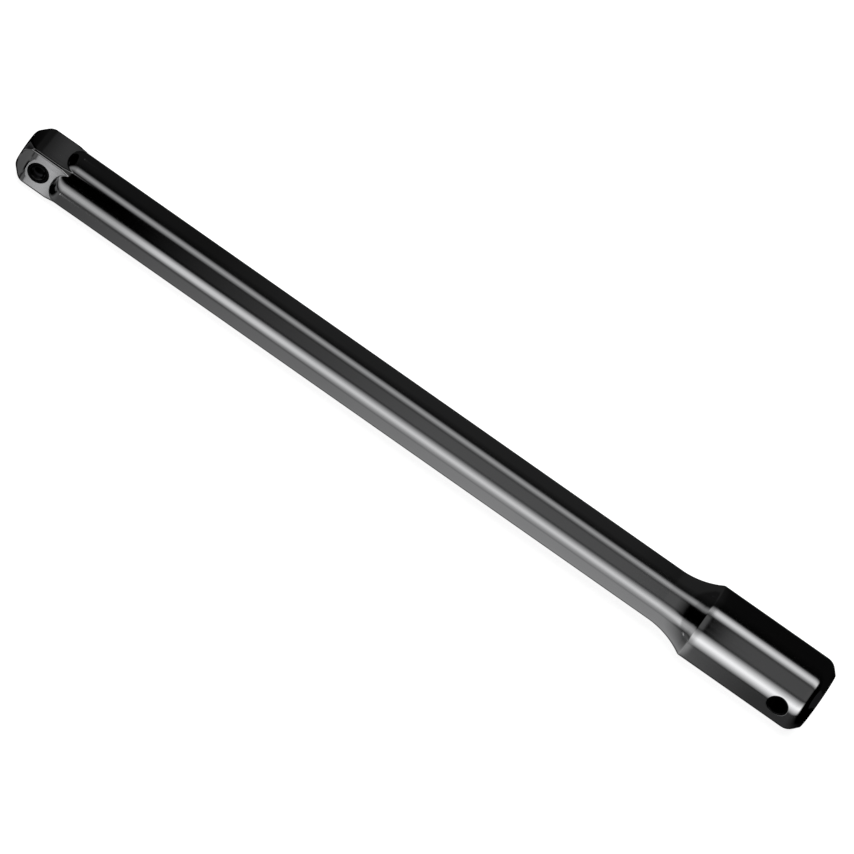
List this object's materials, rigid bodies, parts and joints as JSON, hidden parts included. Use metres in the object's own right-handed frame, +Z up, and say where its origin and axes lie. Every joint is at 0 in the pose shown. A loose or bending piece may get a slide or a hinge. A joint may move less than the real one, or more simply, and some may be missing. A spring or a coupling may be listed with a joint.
{
  "type": "square-drive extension bar",
  "caption": "Polished round extension bar with a male drive square and sprung detent ball at one end and a flared female square socket with a cross pin hole at the other.",
  "frame": {"origin": "on the bar's axis, half way between the tip of the drive square and the face of the socket head", "axes": "+X along the bar's axis towards the socket head, -Y out through the flat that holds the detent ball, +Z up"},
  "size_m": [0.4, 0.0348, 0.0348],
  "materials": {
    "chromed_steel": "polished chrome plate, fine lengthwise polishing marks",
    "ball_steel": "polished dark hardened steel",
    "spring_steel": "drawn spring wire, oil-tempered grey"
  },
  "bodies": {
    "bar": {"bar": "chromed_steel", "detent_spring": "spring_steel"},
    "detent_ball": {"detent_ball": "ball_steel"}
  },
  "joints": [
    {"name": "ball_press", "type": "slide", "parent": "bar", "child": "detent_ball", "axis": [0, 1, 0], "range_m": [0, 0.00205], "stiffness_N_per_m": 6000, "springref_m": -0.002, "deforming": ["detent_spring"]}
  ]
}
